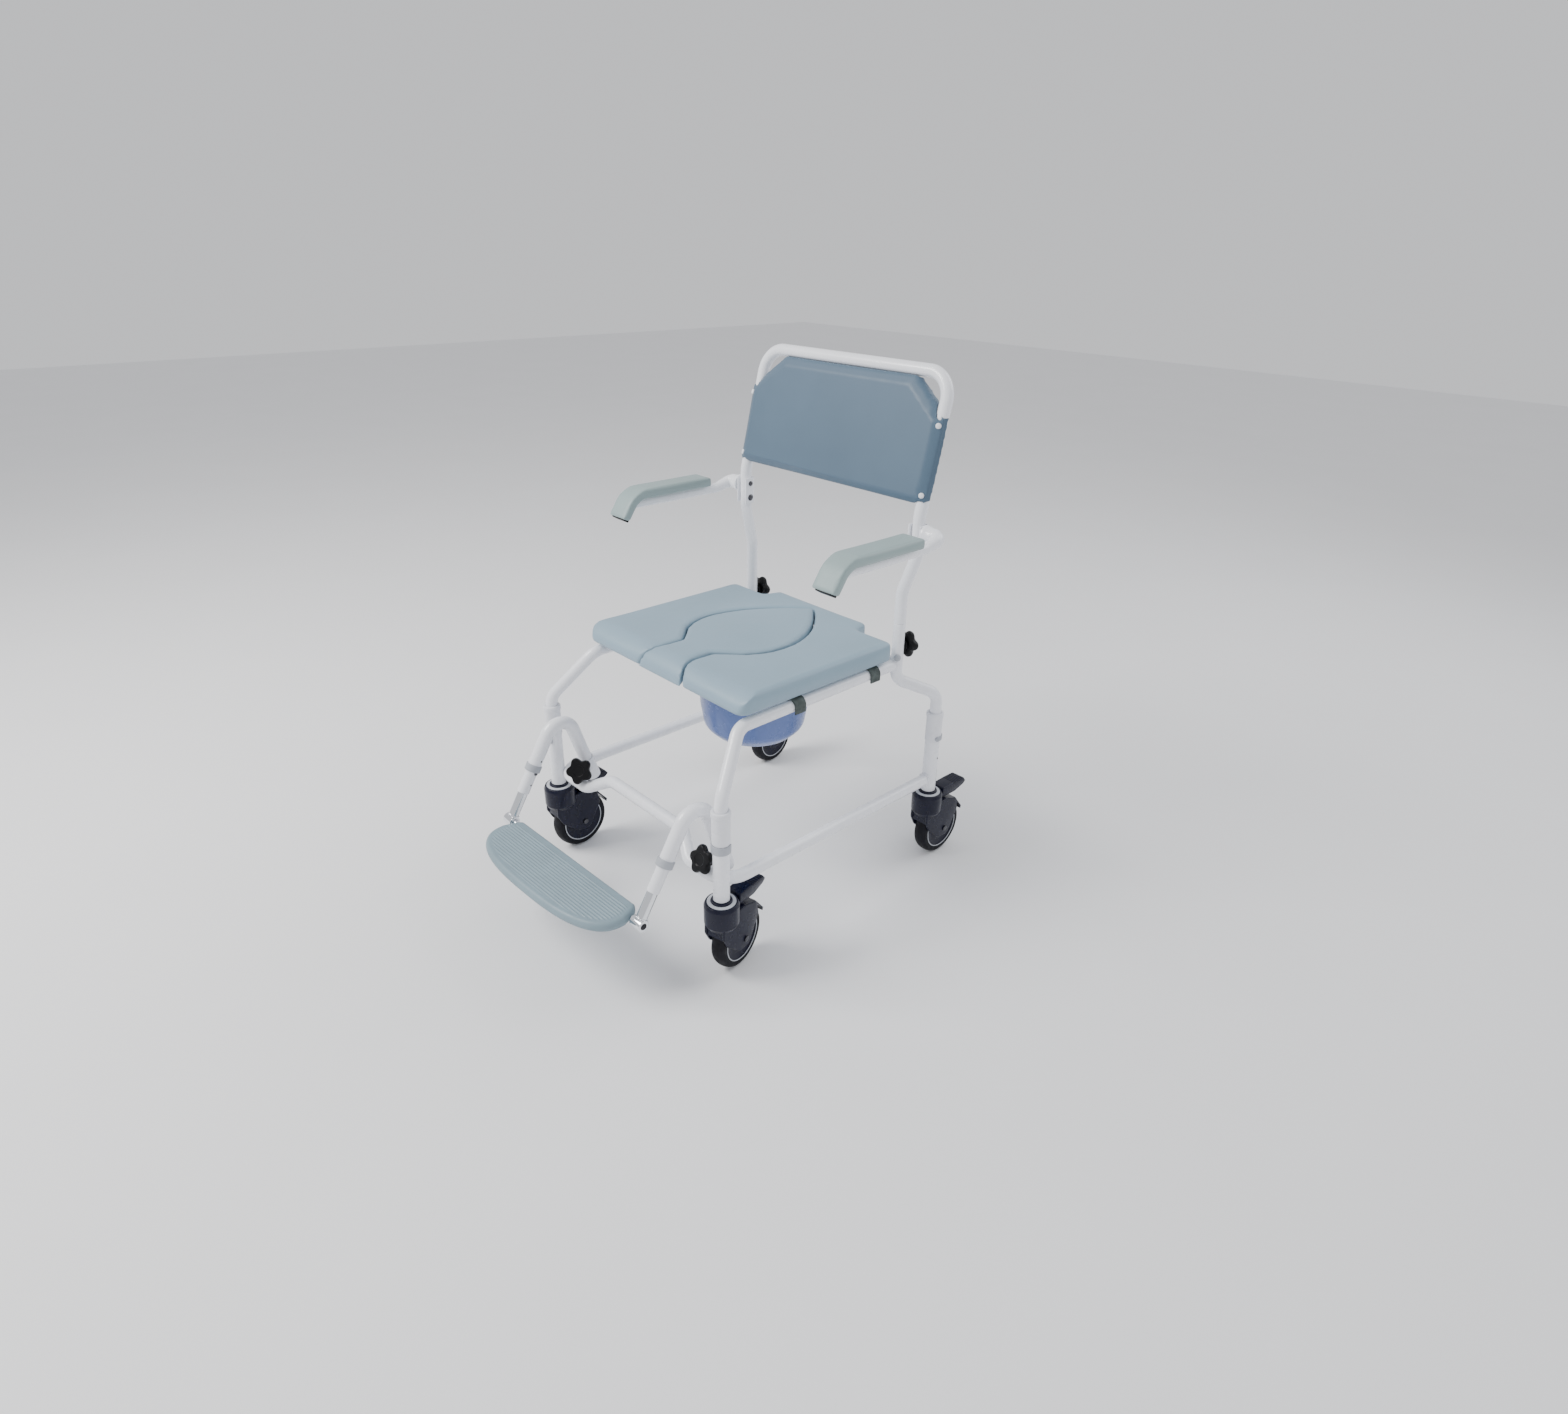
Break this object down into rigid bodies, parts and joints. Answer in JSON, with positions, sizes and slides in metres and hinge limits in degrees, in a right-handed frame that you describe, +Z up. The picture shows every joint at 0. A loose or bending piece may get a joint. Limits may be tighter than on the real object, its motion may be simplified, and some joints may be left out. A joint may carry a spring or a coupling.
{
  "type": "commode chair",
  "caption": "Wheeled commode and shower chair: height-adjustable tubular frame, padded back and seat with a lift-out infill over a pan, swing-up arm rests, flip-up footplate.",
  "frame": {"origin": "centre of the bounding box at floor level", "axes": "+Z up, -Y the way the sitter faces, +X the sitter's left"},
  "size_m": [0.592, 0.8581, 0.9427],
  "materials": {
    "white_coat": "gloss",
    "white_plastic": "satin",
    "grey_plastic": "matte",
    "castor_plastic": "satin",
    "tyre_rubber": "matte",
    "back_foam": "satin",
    "arm_foam": "satin",
    "seat_foam": "satin",
    "clip_rubber": "matte",
    "pan_plastic": "gloss",
    "plate_plastic": "matte",
    "chrome": "polished",
    "black_plastic": "satin"
  },
  "bodies": {
    "base": {"base_tube": "white_coat", "leg_front_left": "white_coat", "leg_front_right": "white_coat", "leg_rear_left": "white_coat", "leg_rear_right": "white_coat", "leg_bush_front_left": "white_plastic", "leg_bush_front_right": "white_plastic", "leg_bush_rear_left": "white_plastic", "leg_bush_rear_right": "white_plastic", "hanger_socket_left": "white_coat", "hanger_socket_right": "white_coat"},
    "seat_frame": {"seat_side_tube_left": "white_coat", "seat_side_tube_right": "white_coat", "rear_upright_left": "white_coat", "rear_upright_right": "white_coat", "seat_cross_tube": "white_coat"},
    "castor_front_left": {"castor_housing_front_left": "castor_plastic"},
    "wheel_front_left": {"castor_wheel_front_left": "tyre_rubber"},
    "pedal_front_left": {"brake_pedal_front_left": "castor_plastic"},
    "castor_front_right": {"castor_housing_front_right": "castor_plastic"},
    "wheel_front_right": {"castor_wheel_front_right": "tyre_rubber"},
    "pedal_front_right": {"brake_pedal_front_right": "castor_plastic"},
    "castor_rear_left": {"castor_housing_rear_left": "castor_plastic"},
    "wheel_rear_left": {"castor_wheel_rear_left": "tyre_rubber"},
    "pedal_rear_left": {"brake_pedal_rear_left": "castor_plastic"},
    "castor_rear_right": {"castor_housing_rear_right": "castor_plastic"},
    "wheel_rear_right": {"castor_wheel_rear_right": "tyre_rubber"},
    "pedal_rear_right": {"brake_pedal_rear_right": "castor_plastic"},
    "footrest": {"footrest_hanger_left": "white_coat", "footrest_hanger_right": "white_coat"},
    "footrest_drop": {"drop_tube_left": "chrome", "drop_tube_right": "chrome"},
    "foot_flap": {"footplate": "plate_plastic", "footplate_rod": "chrome"},
    "back": {"back_frame": "white_coat", "back_pad": "back_foam", "arm_bracket_left": "white_coat", "arm_bracket_right": "white_coat"},
    "arm_left": {"arm_tube_left": "white_coat", "arm_pad_left": "arm_foam"},
    "arm_right": {"arm_tube_right": "white_coat", "arm_pad_right": "arm_foam"},
    "seat": {"seat_pad": "seat_foam", "seat_clip_front_left": "clip_rubber", "seat_clip_front_right": "clip_rubber", "seat_clip_rear_left": "clip_rubber", "seat_clip_rear_right": "clip_rubber", "pan_guide": "white_plastic"},
    "infill": {"seat_infill": "seat_foam"},
    "pan": {"commode_pan": "pan_plastic"},
    "lock_front_left": {"height_lock_front_left": "grey_plastic"},
    "lock_front_right": {"height_lock_front_right": "grey_plastic"},
    "lock_rear_left": {"height_lock_rear_left": "grey_plastic"},
    "lock_rear_right": {"height_lock_rear_right": "grey_plastic"},
    "turn_back_knob_left": {"back_knob_left": "black_plastic"},
    "turn_hanger_knob_left": {"hanger_knob_left": "black_plastic"},
    "turn_back_knob_right": {"back_knob_right": "black_plastic"},
    "turn_hanger_knob_right": {"hanger_knob_right": "black_plastic"}
  },
  "joints": [
    {"name": "seat_height", "type": "slide", "parent": "base", "child": "seat_frame", "axis": [0, 0, 1], "range_m": [0, 0.08]},
    {"name": "castor_swivel_front_left", "type": "hinge", "parent": "base", "child": "castor_front_left", "pos_m": [0.248, -0.2048, 0.1], "axis": [0, 0, 1], "continuous": true},
    {"name": "wheel_spin_front_left", "type": "hinge", "parent": "castor_front_left", "child": "wheel_front_left", "pos_m": [0.23832, -0.16599, 0.057], "axis": [0.9703, 0.2419, 0], "continuous": true},
    {"name": "brake_front_left", "type": "hinge", "parent": "castor_front_left", "child": "pedal_front_left", "pos_m": [0.23905, -0.1689, 0.138], "axis": [-0.9703, -0.2419, 0], "range_deg": [0, 10]},
    {"name": "castor_swivel_front_right", "type": "hinge", "parent": "base", "child": "castor_front_right", "pos_m": [-0.248, -0.2048, 0.1], "axis": [0, 0, 1], "continuous": true},
    {"name": "wheel_spin_front_right", "type": "hinge", "parent": "castor_front_right", "child": "wheel_front_right", "pos_m": [-0.25009, -0.16485, 0.057], "axis": [0.9986, 0.0523, 0], "continuous": true},
    {"name": "brake_front_right", "type": "hinge", "parent": "castor_front_right", "child": "pedal_front_right", "pos_m": [-0.24994, -0.16785, 0.138], "axis": [-0.9986, -0.0523, 0], "range_deg": [0, 10]},
    {"name": "castor_swivel_rear_left", "type": "hinge", "parent": "base", "child": "castor_rear_left", "pos_m": [0.248, 0.3222, 0.1], "axis": [0, 0, 1], "continuous": true},
    {"name": "wheel_spin_rear_left", "type": "hinge", "parent": "castor_rear_left", "child": "wheel_rear_left", "pos_m": [0.2473, 0.36219, 0.057], "axis": [0.9998, 0.0174, 0], "continuous": true},
    {"name": "brake_rear_left", "type": "hinge", "parent": "castor_rear_left", "child": "pedal_rear_left", "pos_m": [0.24735, 0.35919, 0.138], "axis": [-0.9998, -0.0174, 0], "range_deg": [0, 10]},
    {"name": "castor_swivel_rear_right", "type": "hinge", "parent": "base", "child": "castor_rear_right", "pos_m": [-0.248, 0.3222, 0.1], "axis": [0, 0, 1], "continuous": true},
    {"name": "wheel_spin_rear_right", "type": "hinge", "parent": "castor_rear_right", "child": "wheel_rear_right", "pos_m": [-0.25149, 0.36205, 0.057], "axis": [0.9962, 0.0872, 0], "continuous": true},
    {"name": "brake_rear_right", "type": "hinge", "parent": "castor_rear_right", "child": "pedal_rear_right", "pos_m": [-0.25122, 0.35906, 0.138], "axis": [-0.9962, -0.0872, 0], "range_deg": [0, 10]},
    {"name": "footrest_lift_off", "type": "slide", "parent": "base", "child": "footrest", "axis": [0, -0.2995, 0.9541], "range_m": [0, 0.06]},
    {"name": "footrest_length", "type": "slide", "parent": "footrest", "child": "footrest_drop", "axis": [0, -0.5179, -0.8555], "range_m": [0, 0.05]},
    {"name": "footplate_flip", "type": "hinge", "parent": "footrest_drop", "child": "foot_flap", "pos_m": [0, -0.3348, 0.147], "axis": [-1, 0, 0], "range_deg": [0, 80]},
    {"name": "back_lift_off", "type": "slide", "parent": "seat_frame", "child": "back", "axis": [0, 0, 1], "range_m": [0, 0.09]},
    {"name": "arm_swing_left", "type": "hinge", "parent": "back", "child": "arm_left", "pos_m": [0.2475, 0.2582, 0.677], "axis": [-1, 0, 0], "range_deg": [0, 100]},
    {"name": "arm_swing_right", "type": "hinge", "parent": "back", "child": "arm_right", "pos_m": [-0.2475, 0.2582, 0.677], "axis": [-1, 0, 0], "range_deg": [0, 100]},
    {"name": "seat_lift_off", "type": "slide", "parent": "seat_frame", "child": "seat", "axis": [0, 0, 1], "range_m": [0, 0.175]},
    {"name": "infill_lift_off", "type": "slide", "parent": "seat", "child": "infill", "axis": [0, 0, 1], "range_m": [0, 0.06]},
    {"name": "pan_slide", "type": "slide", "parent": "seat", "child": "pan", "axis": [0, 1, 0], "range_m": [0, 0.28]},
    {"name": "lock_pull_front_left", "type": "slide", "parent": "base", "child": "lock_front_left", "axis": [0.7071, -0.7071, 0], "range_m": [0, 0.035]},
    {"name": "lock_pull_front_right", "type": "slide", "parent": "base", "child": "lock_front_right", "axis": [-0.7071, -0.7071, 0], "range_m": [0, 0.035]},
    {"name": "lock_pull_rear_left", "type": "slide", "parent": "base", "child": "lock_rear_left", "axis": [0.342, 0.9397, 0], "range_m": [0, 0.035]},
    {"name": "lock_pull_rear_right", "type": "slide", "parent": "base", "child": "lock_rear_right", "axis": [-0.342, 0.9397, 0], "range_m": [0, 0.035]},
    {"name": "back_knob_turn_left", "type": "hinge", "parent": "seat_frame", "child": "turn_back_knob_left", "pos_m": [0.2, 0.2752, 0.461], "axis": [0, 1, 0], "continuous": true},
    {"name": "back_knob_turn_right", "type": "hinge", "parent": "seat_frame", "child": "turn_back_knob_right", "pos_m": [-0.2, 0.2752, 0.461], "axis": [0, 1, 0], "continuous": true},
    {"name": "hanger_knob_turn_left", "type": "hinge", "parent": "base", "child": "turn_hanger_knob_left", "pos_m": [0.20136, -0.19441, 0.20392], "axis": [0.0102, -0.9175, 0.3976], "continuous": true},
    {"name": "hanger_knob_turn_right", "type": "hinge", "parent": "base", "child": "turn_hanger_knob_right", "pos_m": [-0.18107, -0.18679, 0.20509], "axis": [0.5696, -0.6997, 0.4312], "continuous": true}
  ]
}
